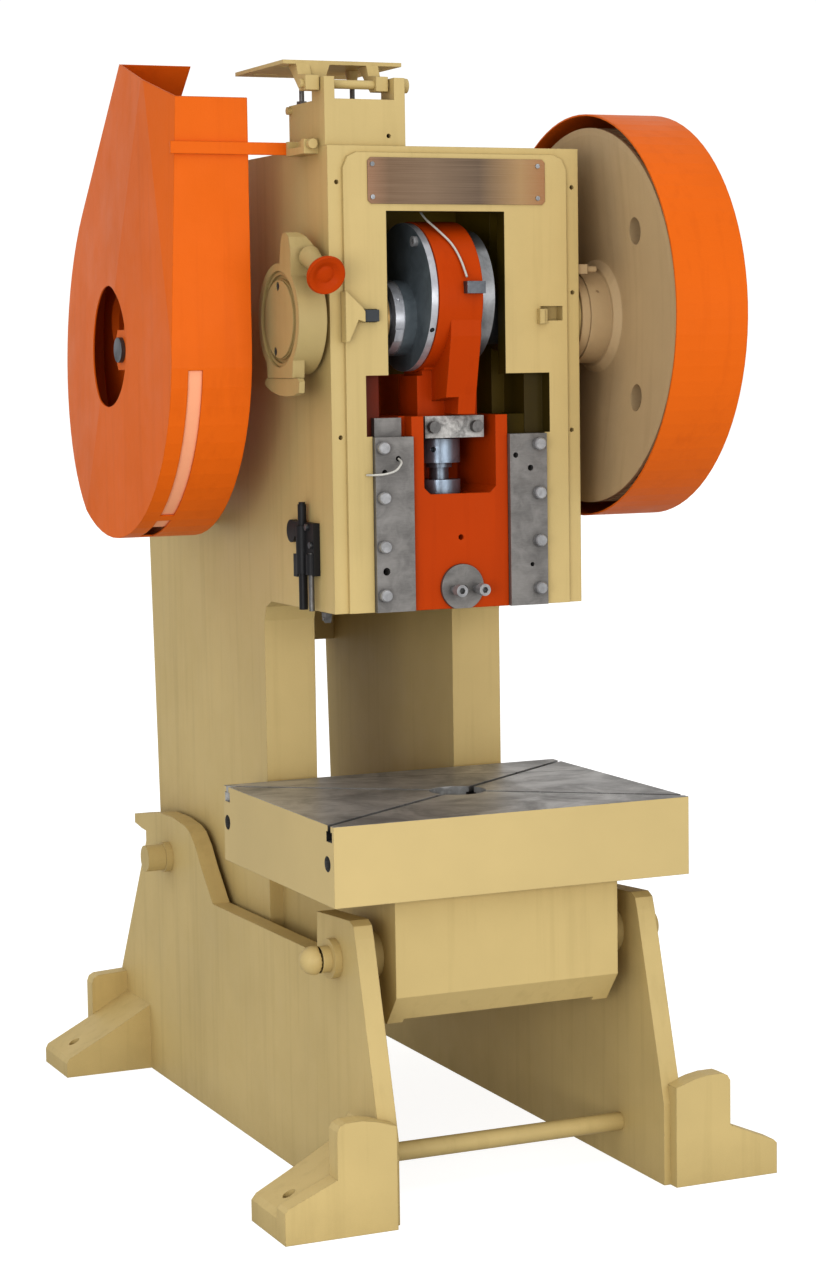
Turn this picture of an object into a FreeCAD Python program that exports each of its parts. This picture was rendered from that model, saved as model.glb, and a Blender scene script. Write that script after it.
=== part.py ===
# Open-back C-frame mechanical stamping press, geared, on two cast legs.
# Millimetres, +Z up, front of the press towards -Y, crankshaft along X.
# Dimensions are written from the table's front face (Y = 0) and moved by
# origin_shift, so that the origin is the centre of the footprint on the floor.
import FreeCAD, Part
import Sketcher
import math
import os

V = FreeCAD.Vector
doc = FreeCAD.newDocument("StampingPress")
sheet = doc.addObject("Spreadsheet::Sheet", "dims")
ROW = [1]


class Q:
    """A number that remembers the sheet expression it came from."""

    def __init__(self, v, e):
        self.v, self.e = float(v), e

    def __add__(self, o): return Q(self.v + num(o), "(%s + %s)" % (self.e, ex(o)))
    def __radd__(self, o): return Q(num(o) + self.v, "(%s + %s)" % (ex(o), self.e))
    def __sub__(self, o): return Q(self.v - num(o), "(%s - %s)" % (self.e, ex(o)))
    def __rsub__(self, o): return Q(num(o) - self.v, "(%s - %s)" % (ex(o), self.e))
    def __mul__(self, o): return Q(self.v * num(o), "(%s * %s)" % (self.e, ex(o)))
    def __rmul__(self, o): return Q(num(o) * self.v, "(%s * %s)" % (ex(o), self.e))
    def __truediv__(self, o): return Q(self.v / num(o), "(%s / %s)" % (self.e, ex(o)))
    def __neg__(self): return Q(-self.v, "(0 - %s)" % self.e)


def num(a):
    return a.v if isinstance(a, Q) else float(a)


def ex(a):
    return a.e if isinstance(a, Q) else ("%.6g" % a if a >= 0 else "(0 - %.6g)" % -a)


def P(name, value):
    r = ROW[0]
    ROW[0] += 1
    sheet.set("A%d" % r, name)
    sheet.set("B%d" % r, "%g" % value)
    sheet.setAlias("B%d" % r, name)
    return Q(value, "dims." + name)


# ---------------------------------------------------------------- dimensions
origin_shift = P("origin_shift", 643.5)
head_half = P("head_half_width", 249)
head_front = P("head_front", 216)
panel_step = P("front_panel_step", 6)
head_low = P("head_underside", 1045)
head_top = P("head_top", 1880)
cheek_in = P("cheek_inner_half", 146)
col_front = P("column_front", 579)
col_rear_low = P("column_rear_low", 1215)
col_rear_high = P("column_rear_high", 1273)
bed_low = P("bed_low", 322)
bed_half = P("bed_half_width", 221)
bed_front = P("bed_front", 36)
table_w = P("table_width", 700)
table_d = P("table_depth", 549)
table_top = P("table_top", 699)
table_t = P("table_thickness", 143)
table_bore = P("table_bore_radius", 53)
bore_x = P("table_bore_x", 12)
bore_y = P("table_bore_y", 272)
slot_w = P("slot_width", 11)
leg_out = P("leg_outer", 298)
leg_t = P("leg_thickness", 36)
toe_out = P("toe_outer", 485)
crank_y = P("crank_axis_y", 310)
crank_z = P("crank_axis_z", 1575)
ecc = P("eccentric_throw", 37.5)
journal = P("crank_journal_radius", 50)
bush_r = P("crank_bush_outer_radius", 62)
sheave = P("eccentric_sheave_radius", 90)
run_gap = P("running_gap", 0.05)
ring_r = P("pitman_ring_radius", 137.5)
ring_left = P("pitman_ring_left_face", 56)
ring_right = P("pitman_ring_right_face", 30)
back_y = P("back_shaft_y", 720)
back_z = P("back_shaft_z", 1525)
back_r = P("back_shaft_radius", 35)
gear_m = P("gear_module", 7)
gear_n = P("gear_teeth", 98)
pin_n = P("pinion_teeth", 20)
gear_x0 = P("gear_inner_face", 312)
gear_x1 = P("gear_outer_face", 392)
guard_r = P("guard_radius", 375)
bg_r = P("belt_guard_radius", 358)
bg_y = P("belt_guard_centre_y", 712)
guard_t = P("guard_sheet", 3)
bg_in = P("belt_guard_inner", 348)
bg_out = P("belt_guard_outer", 502)
gg_in = P("gear_guard_inner", 295)
gg_out = P("gear_guard_outer", 440)
ram_half = P("ram_nose_half_width", 96)
wing_half = P("ram_wing_half_width", 145.6)
ram_top = P("ram_top", 1397)
gib_in = P("gib_inner", 96.5)
gib_out = P("gib_outer", 172)
gib_top = P("gib_top", 1361)
shank_r = P("tool_shank_radius", 25)
rod_r = P("tie_rod_radius", 17)

CY, CZ, E = num(crank_y), num(crank_z), num(ecc)
BY, BZ = num(back_y), num(back_z)

# ------------------------------------------------------------------- helpers
NODES = {}


def setx(obj, prop, value):
    if isinstance(value, Q):
        obj.setExpression(prop, value.e)


def place(obj, x, y, z, rot=None):
    obj.Placement = FreeCAD.Placement(V(num(x), num(y), num(z)), rot or FreeCAD.Rotation())
    setx(obj, "Placement.Base.x", x)
    setx(obj, "Placement.Base.y", y)
    setx(obj, "Placement.Base.z", z)


def box(x0, x1, y0, y1, z0, z1):
    o = doc.addObject("Part::Box", "Box")
    for prop, a, b in (("Length", x0, x1), ("Width", y0, y1), ("Height", z0, z1)):
        setattr(o, prop, num(b) - num(a))
        if isinstance(a, Q) or isinstance(b, Q):
            o.setExpression(prop, "%s - %s" % (ex(b), ex(a)))
    place(o, x0, y0, z0)
    return o


TURN = {"X": FreeCAD.Rotation(V(0, 1, 0), 90), "Y": FreeCAD.Rotation(V(1, 0, 0), -90),
        "Z": FreeCAD.Rotation()}


def spot(axis, a0, c1, c2):
    return {"X": (a0, c1, c2), "Y": (c1, a0, c2), "Z": (c1, c2, a0)}[axis]


def cyl(axis, a0, a1, c1, c2, r):
    """Cylinder along an axis from a0 to a1; c1, c2 are the other two coordinates."""
    o = doc.addObject("Part::Cylinder", "Cylinder")
    o.Radius = num(r)
    setx(o, "Radius", r)
    o.Height = num(a1) - num(a0)
    if isinstance(a0, Q) or isinstance(a1, Q):
        o.setExpression("Height", "%s - %s" % (ex(a1), ex(a0)))
    x, y, z = spot(axis, a0, c1, c2)
    place(o, x, y, z, TURN[axis])
    return o


def cone(axis, a0, a1, c1, c2, r0, r1):
    o = doc.addObject("Part::Cone", "Cone")
    o.Radius1, o.Radius2, o.Height = num(r0), num(r1), num(a1) - num(a0)
    setx(o, "Radius1", r0)
    setx(o, "Radius2", r1)
    x, y, z = spot(axis, a0, c1, c2)
    place(o, x, y, z, TURN[axis])
    return o


def ball(x, y, z, r):
    o = doc.addObject("Part::Sphere", "Sphere")
    o.Radius = num(r)
    setx(o, "Radius", r)
    place(o, x, y, z)
    return o


def fuse(*parts):
    if len(parts) == 1:
        return parts[0]
    o = doc.addObject("Part::MultiFuse", "Fusion")
    o.Shapes = list(parts)
    o.Refine = True
    return o


def group(*parts):
    """Separate solids of one kind kept in one node."""
    o = doc.addObject("Part::Compound", "Group")
    o.Links = list(parts)
    return o


def cut(base, *tools):
    o = doc.addObject("Part::Cut", "Cut")
    o.Base = base
    o.Tool = tools[0] if len(tools) == 1 else fuse(*tools)
    o.Refine = True
    return o


def common(a, b):
    o = doc.addObject("Part::Common", "Common")
    o.Base, o.Tool = a, b
    return o


def outline(sk, loops):
    """Closed straight-sided loops and circles, each point dimensioned from the origin."""
    for loop in loops:
        if loop[0] == "circle":
            _, cx, cy, r = loop
            g = sk.addGeometry(Part.Circle(V(num(cx), num(cy), 0), V(0, 0, 1), num(r)), False)
            pin(sk, g, 3, cx, cy)
            i = sk.addConstraint(Sketcher.Constraint("Radius", g, num(r)))
            setx(sk, "Constraints[%d]" % i, r)
            continue
        pts = loop
        first = sk.GeometryCount
        n = len(pts)
        lines = [Part.LineSegment(V(num(pts[k][0]), num(pts[k][1]), 0),
                                  V(num(pts[(k + 1) % n][0]), num(pts[(k + 1) % n][1]), 0)) for k in range(n)]
        sk.addGeometry(lines, False)
        sk.addConstraint([Sketcher.Constraint("Coincident", first + k, 2, first + (k + 1) % n, 1) for k in range(n)])
        for k in range(n):
            pin(sk, first + k, 1, pts[k][0], pts[k][1])


def pin(sk, g, p, x, y):
    for kind, axis, c in (("DistanceX", -2, x), ("DistanceY", -1, y)):
        if abs(num(c)) < 1e-9:
            sk.addConstraint(Sketcher.Constraint("PointOnObject", g, p, axis))
        else:
            i = sk.addConstraint(Sketcher.Constraint(kind, -1, 1, g, p, num(c)))
            setx(sk, "Constraints[%d]" % i, c)


FRAME = {"XY": (V(1, 0, 0), V(0, 1, 0), V(0, 0, 1)), "XZ": (V(1, 0, 0), V(0, 0, 1), V(0, -1, 0)),
         "YZ": (V(0, 1, 0), V(0, 0, 1), V(1, 0, 0))}


def prism(plane, a0, a1, *loops):
    """Sketch on a plane, extruded from a0 to a1 along that plane's positive axis."""
    sk = doc.addObject("Sketcher::SketchObject", "Profile")
    u, v, w = FRAME[plane]
    at = {"XY": V(0, 0, num(a0)), "XZ": V(0, num(a0), 0), "YZ": V(num(a0), 0, 0)}[plane]
    sk.Placement = FreeCAD.Placement(at, FreeCAD.Rotation(u, v, w, "ZXY"))
    setx(sk, "Placement.Base." + {"XY": "z", "XZ": "y", "YZ": "x"}[plane], a0)
    outline(sk, loops)
    o = doc.addObject("Part::Extrusion", "Extrusion")
    o.Base = sk
    o.DirMode = "Custom"
    o.Dir = {"XY": V(0, 0, 1), "XZ": V(0, 1, 0), "YZ": V(1, 0, 0)}[plane]
    o.LengthFwd = num(a1) - num(a0)
    if isinstance(a0, Q) or isinstance(a1, Q):
        o.setExpression("LengthFwd", "%s - %s" % (ex(a1), ex(a0)))
    o.Solid = True
    return o


class Body:
    """PartDesign body whose sketches lie on its own origin planes."""

    def __init__(self, name):
        self.b = doc.addObject("PartDesign::Body", name)

    def sketch(self, plane, off, *loops):
        sk = self.b.newObject("Sketcher::SketchObject", self.b.Name + "_sketch")
        pl = [f for f in self.b.Origin.OriginFeatures if f.Role == plane + "_Plane"][0]
        sk.AttachmentSupport = [(pl, "")]
        sk.MapMode = "FlatFace"
        s = -1.0 if plane == "XZ" else 1.0
        sk.AttachmentOffset = FreeCAD.Placement(V(0, 0, s * num(off)), FreeCAD.Rotation())
        if isinstance(off, Q):
            setx(sk, "AttachmentOffset.Base.z", off if s > 0 else -off)
        outline(sk, loops)
        return sk

    def feature(self, kind, plane, a0, a1, *loops):
        """Pad or pocket between two positions along the sketch plane's axis."""
        lo, hi = (a0, a1) if num(a0) < num(a1) else (a1, a0)
        start, back = (hi, plane != "XZ") if kind == "Pocket" else (lo, plane == "XZ")
        if kind == "Pocket" and plane == "XZ":
            start, back = lo, False
        sk = self.sketch(plane, start, *loops)
        f = self.b.newObject("PartDesign::" + kind, self.b.Name + "_" + kind.lower())
        f.Profile = sk
        f.Length = num(hi) - num(lo)
        if isinstance(hi, Q) or isinstance(lo, Q):
            f.setExpression("Length", "%s - %s" % (ex(hi), ex(lo)))
        f.Reversed = (kind == "Pad" and plane == "XZ")
        doc.recompute()
        return f

    def pad(self, plane, a0, a1, *loops):
        return self.feature("Pad", plane, a0, a1, *loops)

    def pocket(self, plane, a0, a1, *loops):
        before = self.b.Shape.Volume
        f = self.feature("Pocket", plane, a0, a1, *loops)
        if self.b.Shape.Volume > before - 1e-3:
            f.Reversed = not f.Reversed
            doc.recompute()
        assert self.b.Shape.Volume < before - 1e-3, "pocket cuts nothing: " + f.Name
        return f

    def revolve(self, plane, axis, *loops):
        sk = self.sketch(plane, 0, *loops)
        f = self.b.newObject("PartDesign::Revolution", self.b.Name + "_revolution")
        f.Profile = sk
        f.ReferenceAxis = (sk, [axis])
        f.Angle = 360
        doc.recompute()
        return f

    def soften(self, kind, size, test):
        """Fillet or chamfer on the edges that pass the test."""
        tip = self.b.Tip
        names = ["Edge%d" % (i + 1) for i, e in enumerate(tip.Shape.Edges) if test(e)]
        assert names, "no edge to soften on " + self.b.Name
        f = self.b.newObject("PartDesign::" + kind, self.b.Name + "_" + kind.lower())
        f.Base = (tip, names)
        if kind == "Fillet":
            f.Radius = num(size)
            setx(f, "Radius", size)
        else:
            f.Size = num(size)
            setx(f, "Size", size)
        doc.recompute()
        return f


def along(edge, axis, tol=1e-4):
    """True for a straight edge along an axis."""
    if not isinstance(edge.Curve, Part.Line):
        return False
    d = edge.Curve.Direction
    return abs(abs({"X": d.x, "Y": d.y, "Z": d.z}[axis]) - 1) < tol


def at(edge, x=None, y=None, z=None, tol=0.6):
    c = edge.BoundBox.Center
    return all(w is None or abs(g - num(w)) < tol for g, w in ((c.x, x), (c.y, y), (c.z, z)))


def rect(x0, x1, y0, y1):
    return [(x0, y0), (x1, y0), (x1, y1), (x0, y1)]


def ngon(cx, cy, r, n=6, turn=0.0):
    return [(num(cx) + r * math.cos(turn + 2 * math.pi * k / n),
             num(cy) + r * math.sin(turn + 2 * math.pi * k / n)) for k in range(n)]


def node(obj, label):
    """Names a finished sub-part and moves it into the part's own frame."""
    o = obj.b if isinstance(obj, Body) else obj
    o.Label = label
    p = o.Placement
    o.Placement = FreeCAD.Placement(V(p.Base.x, p.Base.y - num(origin_shift), p.Base.z), p.Rotation)
    bound = [e for q, e in o.ExpressionEngine if q.strip(".") == "Placement.Base.y"]
    if bound:
        o.setExpression("Placement.Base.y", "%s - %s" % (bound[0], origin_shift.e))
    elif abs(p.Base.y) < 1e-9:
        o.setExpression("Placement.Base.y", (-origin_shift).e)
    NODES[label] = o
    return o


# ================================================================ main frame
side = prism("YZ", -head_half, head_half, [
    (head_front + panel_step, head_low), (col_front - 40, head_low), (col_front - 12, head_low - 12),
    (col_front, head_low - 40),
    (col_front, bed_low), (col_rear_low, bed_low), (col_rear_high - 19, 1112), (col_rear_high, 1500),
    (1210, 1700), (1100, head_top), (head_front + panel_step, head_top)])
bed = prism("YZ", -bed_half, bed_half, [
    (bed_front, table_top - table_t), (bed_front, 377), (bed_front + 45, bed_low),
    (col_front + 20, bed_low), (col_front + 20, table_top - table_t)])
rib_f = prism("XZ", 198, head_front + 3, [(-228, 1531), (-221, 1533), (-203, 1571), (-190, 1567), (-190, 1586), (-196, 1594),
                                         (-226, 1622), (-228, 1622)])
panel = prism("XZ", head_front, head_front + panel_step + 1, [
    (-222, head_low), (222, head_low), (222, 1840), (213, 1860), (196, 1868), (-196, 1868), (-213, 1860), (-222, 1840)])
boss_l = cyl("X", -258, -240, crank_y, crank_z, 78)
boss_r = cyl("X", 240, 258, crank_y, crank_z, 80)
bboss_l = cyl("X", -268, -240, back_y, back_z, 75)
bboss_r = cyl("X", 240, 268, back_y, back_z, 75)
hollow = [
    # slideway and crank chamber, open below
    box(-cheek_in, cheek_in, 246.2, 331, head_low - 5, 1800),
    box(-120, 120, 325, 480, head_low - 5, 1800),
    # window in the front wall, its wider lower part and the gib seat
    box(-139, 94, head_front - 5, 247, 1460, 1764),
    box(-183, 183, head_front - 5, 246.2, gib_top + 2, 1471),
    box(-gib_out - 0.3, gib_out + 0.3, head_front - 5, 246.2, head_low - 5, gib_top + 3),
    # chamber behind the web, open to the gap between the cheeks
    box(-cheek_in, cheek_in, 545, 1195, 897, 1700),
    # gap between the cheeks, through to the back
    box(-cheek_in, cheek_in, 560, 1290, table_top - table_t + 10, 897),
    box(-cheek_in, cheek_in, 530, 545.5, table_top - table_t + 10, head_low),
    # room under the bed for what falls through the table
    box(-190, 190, 76, 540, bed_low - 5, 520),
    box(-cheek_in, cheek_in, 530, 1150, bed_low - 5, 500),
    cyl("Z", 500, table_top, bore_x, bore_y, table_bore + 12),
    # bearing bores and rod holes
    cyl("X", -270, 270, crank_y, crank_z, bush_r + 0.02),
    cyl("X", -270, 270, back_y, back_z, 50),
    cyl("X", -230, 230, 130, 440, 25),
    cyl("X", -260, 260, 1035, 480, 25),
    # rectangular pockets on both sides of the crank window, small tapped holes
    box(167, 212, head_front - 5, 240, 1567, 1593),
    box(-189, -160, head_front - 5, 236, 1567, 1590),
    cyl("Y", head_front - 5, 236, 236, 1810, 4),
    cyl("Y", head_front - 5, 236, 236, 1618, 4),
    cyl("Y", head_front - 5, 236, 232, 1365, 4),
    cyl("Y", head_front - 5, 236, -232, 1815, 4),
    cyl("Y", head_front - 5, 236, -232, 1362, 4),
    # seats of the gib screws
    *[cyl("Y", 240, 290, gx, gz, 6.6) for gx in (-158, 154) for gz in (1342, 1252, 1164, 1076)],
]
frame_body = cut(fuse(side, bed, panel, rib_f, boss_l, boss_r, bboss_l, bboss_r), *hollow)
node(frame_body, "main_frame")

# ===================================================================== legs
LEG = [(1180, 491), (1180, 513), (1207, 514), (1253, 520), (1253, 539), (1085, 565), (1000, 566), (930, 560),
       (900, 551), (868, 527), (836, 490), (770, 426), (290, 432), (216, 434), (213, 510), (60, 520), (44, 512),
       (36, 490), (-48, 196), (-60, 150), (-60, 0), (1370, 0), (1370, 176), (1367, 184)]


def leg(name, s):
    b = Body(name)
    xi, xo = leg_out - leg_t, leg_out
    a, c = (xi, xo) if s > 0 else (-xo, -xi)
    b.pad("YZ", a, c, LEG)
    x = lambda v: v * s
    # front foot: upright flange with a thick toe
    b.pad("XZ", -83, -45, [(x(275), 0), (x(485), 0), (x(485), 57), (x(478), 64), (x(387), 102.5), (x(387), 186), (x(381), 196),
                           (x(370), 200.5), (x(340), 200.5), (x(314), 196), (x(275), 184)])
    b.pad("XZ", -50, 80, [(x(290), 0), (x(485), 0), (x(485), 38), (x(476), 49), (x(413), 82), (x(338), 124), (x(320), 143),
                          (x(306), 160), (x(290), 184)])
    # rear foot, flange at the back
    b.pad("XZ", 1334, 1370, [(x(275), 0), (x(475), 0), (x(475), 16), (x(469), 26), (x(378), 73), (x(378), 160), (x(374), 171),
                             (x(364), 177), (x(275), 182)])
    b.pad("XZ", 1180, 1336, [(x(290), 0), (x(485), 0), (x(485), 29), (x(480), 39), (x(388), 87), (x(290), 142)])
    for y, z, r in ((130, 440, 25.2), (1035, 480, 25.2)):
        b.pocket("YZ", a - 1 if s < 0 else a, c if s < 0 else c + 1, ("circle", y, z, r))
    for y in (0, 1255):
        b.pocket("XY", 0, 140, ("circle", x(445), y, 11))
    node(b, name)


leg("left_leg", -1)
leg("right_leg", 1)
node(cyl("X", -leg_out + leg_t, leg_out - leg_t, 110, 78, rod_r), "front_tie_rod")
node(fuse(cyl("X", -330, 345, 130, 440, 24), ball(-340, 130, 440, 26), cyl("X", -346, -330, 130, 440, 21)),
     "front_pivot_rod")
node(fuse(cyl("X", -330, 330, 1035, 480, 24), cyl("X", -350, -312, 1035, 480, 27), cyl("X", 312, 350, 1035, 480, 28)),
     "rear_clamp_rod")
node(group(*[cut(cyl("X", x0, x1, y, z, r), cyl("X", x0 - 1, x1 + 1, y, z, 24)) for x0, x1, y, z, r in (
    (-312, -leg_out, 130, 440, 36), (leg_out, 312, 130, 440, 36), (-312, -leg_out, 1035, 480, 31),
    (leg_out, 312, 1035, 480, 31), (-262, -221, 130, 440, 42), (221, 262, 130, 440, 42),
    (-262, -249, 1035, 480, 42), (249, 262, 1035, 480, 42))]), "rod_collars")

# ============================================================= bolster table
t = Body("bolster")
t.pad("XY", table_top - table_t, table_top, rect(-table_w / 2, table_w / 2, 0, table_d))
t.pocket("XY", table_top - table_t, table_top, ("circle", bore_x, bore_y, table_bore))


def diagonal(x1, y1, w):
    """Slot outline from the table's centre to a point on its rim."""
    dx, dy = x1 - num(bore_x), y1 - num(bore_y)
    n = math.hypot(dx, dy)
    ux, uy = dx / n, dy / n
    x0, y0 = num(bore_x) + ux * 30, num(bore_y) + uy * 30
    x2, y2 = x1 + ux * 30, y1 + uy * 30
    hx, hy = -uy * w / 2, ux * w / 2
    return [(x0 - hx, y0 - hy), (x2 - hx, y2 - hy), (x2 + hx, y2 + hy), (x0 + hx, y0 + hy)]


for cx, cy in ((-350, 20), (350, 22), (-350, 530), (350, 520)):
    t.pocket("XY", table_top - 11, table_top, diagonal(cx, cy, num(slot_w)))
    t.pocket("XY", table_top - 29, table_top - 11, diagonal(cx, cy, num(slot_w) * 1.9))
for y in (30, 531):
    t.pocket("YZ", -table_w / 2, -table_w / 2 + 60, ("circle", y, 630, 14))
    t.pocket("YZ", table_w / 2 - 60, table_w / 2, ("circle", y, 630, 14))
node(t, "bolster_table")

# ============================================================ ram and guides
r = Body("slide")
r.pad("XY", head_low, ram_top, rect(-ram_half, ram_half, head_front, 331.5))
r.pad("XY", head_low, ram_top, rect(-wing_half, wing_half, 246.4, 330.6))
r.pad("XY", head_low, ram_top, rect(-112, 112, 331, 425))
r.pocket("XZ", head_front, 384, [(-72, 1267), (-60, 1255), (60, 1255), (72, 1267), (72, ram_top + 90), (-72, ram_top + 90)])
# clearance under the screw's end, longer towards the front
r.pocket("XY", 1238, 1256, [(-45, 228), (45, 228), (45, 352), (-45, 352)])
r.pocket("XY", head_low, head_low + 85, ("circle", 0, crank_y, shank_r))
r.pocket("XZ", head_front, 298, ("circle", 0, 1084, 42.3))
r.pocket("XZ", head_front, 240, ("circle", 0, 1175, 5))
node(r, "ram")

clamp = cut(common(cyl("Y", head_front - 6, 298, 0, 1084, 42), box(-60, 60, 200, 300, head_low, 1130)),
            cyl("Y", 200, 263, -19, 1080, 7), cyl("Y", 200, 263, 27, 1080, 7), cyl("Y", 205, 240, 4, 1082, 5),
            cyl("Z", 1040, 1130.1, 0, crank_y, shank_r))
node(clamp, "shank_clamp")
node(group(*[cut(fuse(cyl("Y", 172, 262, x, 1080, 6.8), cyl("Y", 172, 190, x, 1080, 11)),
                 prism("XZ", 171, 182, ngon(x, 1080, 6))) for x in (-19, 27)]), "shank_clamp_bolts")


def gib(name, s):
    b = Body(name)
    lo, hi = (gib_in, gib_out) if s > 0 else (-gib_out, -gib_in)
    b.pad("XY", head_low, gib_top, rect(lo, hi, head_front - 10, 246))
    for z in (1342, 1252, 1164, 1076):
        b.pocket("XZ", head_front - 10, 246, ("circle", -158 if s < 0 else 154, z, 6.8))
    for x, z, q in (((-127, 1322, 5), (-154, 1298, 5), (-153, 1119, 7)) if s < 0 else
                    ((108, 1322, 5), (138, 1298, 5.5), (140, 1120, 4))):
        b.pocket("XZ", head_front - 10, 236, ("circle", x, z, q))
    node(b, name)


gib("left_gib", -1)
gib("right_gib", 1)
node(group(*[fuse(cone("Y", head_front - 24, head_front - 21, x, z, 9.5, 11.5), cyl("Y", head_front - 21, head_front - 10, x, z, 11.5),
                  cyl("Y", head_front - 12, 288, x, z, 6.4)) for x in (-158, 154) for z in (1342, 1252, 1164, 1076)]),
     "gib_bolts")
node(box(-162, -109, 232, 246, gib_top, 1395), "left_gib_wedge")

# ======================================================= crankshaft assembly
zc = crank_z + ecc
node(fuse(cyl("X", -307, -57, crank_y, crank_z, journal), cyl("X", -57.2, 31.2, crank_y, zc, sheave),
          cyl("X", 31, 249, crank_y, crank_z, journal), cyl("X", 248, 436, crank_y, crank_z, 45),
          cyl("X", 436, 502, crank_y, crank_z, 34)), "crankshaft")
node(group(cut(cyl("X", -247, -121, crank_y, crank_z, bush_r), cyl("X", -300, -100, crank_y, crank_z, journal + run_gap)),
           cut(cyl("X", 121, 247, crank_y, crank_z, bush_r), cyl("X", 100, 300, crank_y, crank_z, journal + run_gap))),
     "crank_bushes")
# the flange, its hub and a split set collar with a lug and a screw hole
node(cut(fuse(cyl("X", -70.2, -57.2, crank_y, zc, 135), cyl("X", -94, -70, crank_y, crank_z, 69),
              cyl("X", -111, -93.8, crank_y, crank_z, 66),
              cut(cyl("X", -112, -96, crank_y, crank_z, 71), cyl("X", -113, -95, crank_y, crank_z, 60),
                  box(-113, -95, CY - 80, CY + 80, CZ - 22, CZ + 80), box(-113, -95, CY - 80, CY + 80, CZ - 80, CZ - 43),
                  box(-113, -95, CY, CY + 80, CZ - 80, CZ + 80))),
         cyl("X", -120, -30, crank_y, crank_z, journal), ball(-64, CY - 120.4, 1551.4, 4.5),
         ball(-102, CY - 57.2, CZ + 33, 3.6)), "left_eccentric_flange")
node(cut(cyl("X", 31.2, 61.2, crank_y, zc, 122), cyl("X", 20, 70, crank_y, crank_z, journal)), "right_eccentric_flange")
node(group(*[cut(cyl("X", -79, -70.2, CY - 121 * math.cos(a), 1612.5 + 121 * math.sin(a), 9.5),
                 prism("YZ", -80, -73, ngon(CY - 121 * math.cos(a), 1612.5 + 121 * math.sin(a), 5)))
             for a in [math.radians(q) for q in (55, 145)]]),
     "eccentric_flange_bolts")

# ================================================================== pitman
p = Body("connecting_rod")
p.pad("YZ", -ring_left, ring_right, ("circle", crank_y, zc, ring_r))
p.pad("YZ", -31, 29, [(178, 1600), (181, 1540), (206, 1430), (300, 1420), (300, 1600)])
p.pad("YZ", -6, 29, [(204, 1440), (211, 1399), (275, 1399), (275, 1440)])
p.pad("YZ", -50, ring_right, [(215, 1560), (262, 1480), (360, 1480), (400, 1540), (400, 1600), (250, 1600)])
p.pad("XY", 1356, 1470, rect(-60, 60, 269, 351))
p.pad("XY", 1466, 1496, rect(-50, ring_right, 269, 351))
p.pocket("YZ", -ring_left, ring_right, ("circle", crank_y, zc, sheave + run_gap))
p.pocket("XY", 1350, 1480, ("circle", 0, crank_y, 24))
node(p, "pitman")
node(cut(box(-59, 59, 238, 269, 1356, 1396), cyl("Y", 230, 275, -44, 1376, 7), cyl("Y", 230, 275, 42, 1376, 7)),
     "pitman_clamp_plate")
node(group(*[fuse(cyl("Y", 226, 238, x, 1376, 11), cyl("Y", 237, 268.7, x, 1376, 6.8)) for x in (-44, 42)]),
     "pitman_clamp_bolts")
node(fuse(cyl("Z", 1300, 1478, 0, crank_y, 24), cyl("Z", 1276, 1302, 0, crank_y, 18)), "ball_screw")
nut_hole = doc.addObject("Part::Cylinder", "NutHole")
nut_hole.Radius, nut_hole.Height = 5, 100
nut_hole.Placement = FreeCAD.Placement(V(-31.5, CY - 38.9, 1334), FreeCAD.Rotation(V(0, 0, 1), V(0.629, 0.777, 0)))
node(cut(cyl("Z", 1309, 1353, 0, crank_y, 39.5), cyl("Z", 1300, 1360, 0, crank_y, 24), nut_hole), "lock_nut")
node(cut(cyl("Z", 1252, 1278, 0, crank_y, 39.5), cyl("Z", 1276, 1280, 0, crank_y, 18)), "ball_cap")
# ring oiler block
node(cut(box(-8, 28, 157, 186, 1616, 1638), cyl("X", -57, 31, crank_y, zc, ring_r)), "ring_oiler_block")

# =============================================================== brake, left
DRUM_HOLES = ((314, 1634), (331, 1517))
node(cut(cyl("X", -308, -262, crank_y, crank_z, 85.6), cyl("X", -307, -250, crank_y, crank_z, journal),
         cut(cyl("X", -309, -303, crank_y, crank_z, 79), cyl("X", -310, -302, crank_y, crank_z, 72))), "brake_drum")
node(cut(cyl("X", -312, -308.1, crank_y, crank_z, 70),
         *[cyl("X", -313, -300, y, z, 8) for y, z in DRUM_HOLES]), "drum_end_plate")
node(group(*[cut(cyl("X", -310.5, -308.1, y, z, 7.6), prism("YZ", -311, -309, ngon(y, z, 4))) for y, z in DRUM_HOLES]),
     "drum_plate_screws")
band = cut(fuse(cyl("X", -313, -259, crank_y, crank_z, 100),
                cut(prism("YZ", -313, -262, [(244, 1640), (246, 1700), (254, 1720), (266, 1728), (282, 1727), (293, 1714), (297, 1690),
                                             (303, 1660)]),
                    prism("XZ", 230, 320, [(-293, 1731), (-280, 1722), (-268, 1706), (-261, 1690), (-255, 1690), (-255, 1731)])),
                prism("YZ", -313, -290, [(246, 1469.5), (242, 1510), (374, 1510), (370, 1469.5)])),
           cyl("X", -314, -258, crank_y, crank_z, 86))
node(fuse(prism("YZ", -311, -300, [(222, 1443), (250, 1438), (284, 1436.5), (318, 1438), (352, 1444), (378, 1452), (390, 1459),
                                   (386, 1466), (378, 1469.3), (226, 1469.3), (219, 1463)]),
          box(-302, -249, 366, 386, 1456, 1467)), "brake_anchor")
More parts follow.
